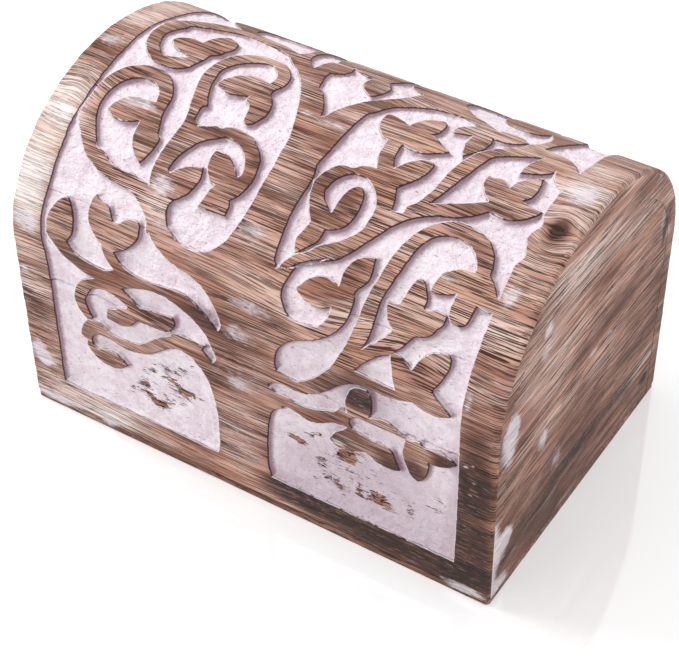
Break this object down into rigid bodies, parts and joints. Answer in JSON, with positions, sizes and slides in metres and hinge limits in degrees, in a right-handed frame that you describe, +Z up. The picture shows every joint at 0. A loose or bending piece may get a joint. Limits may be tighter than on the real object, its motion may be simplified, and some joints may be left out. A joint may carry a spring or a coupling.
{
  "type": "jewelry box",
  "caption": "Carved wooden jewelry box with a domed lid hinged at the back; it rests on its flat underside.",
  "frame": {"origin": "middle of the underside, on the surface the box stands on", "axes": "+Z up, +X along the length to the right seen from the front, -Y is the front and +Y the hinged back"},
  "size_m": [0.203, 0.137, 0.135],
  "materials": {
    "mango_wood_carved": "satin",
    "mango_wood_end": "satin",
    "mango_wood_dark": "satin",
    "felt": "matte",
    "brass": "satin"
  },
  "bodies": {
    "box": {"base_plate": "mango_wood_dark", "front_board": "mango_wood_carved", "back_board": "mango_wood_carved", "left_end_board": "mango_wood_end", "right_end_board": "mango_wood_end", "floor_lining": "felt", "left_hinge_body_leaf": "brass", "left_hinge_pin": "brass", "left_hinge_body_screws": "brass", "right_hinge_body_leaf": "brass", "right_hinge_pin": "brass", "right_hinge_body_screws": "brass"},
    "lid": {"lid_front_stave": "mango_wood_carved", "lid_front_shoulder_stave": "mango_wood_carved", "lid_crown_stave": "mango_wood_carved", "lid_back_shoulder_stave": "mango_wood_carved", "lid_back_stave": "mango_wood_carved", "lid_left_end": "mango_wood_end", "lid_right_end": "mango_wood_end", "left_hinge_lid_leaf": "brass", "left_hinge_lid_screws": "brass", "right_hinge_lid_leaf": "brass", "right_hinge_lid_screws": "brass"}
  },
  "joints": [
    {"name": "lid_hinge", "type": "hinge", "parent": "box", "child": "lid", "pos_m": [0, 0.0686, 0.066], "axis": [-1, 0, 0], "range_deg": [0, 105]}
  ]
}
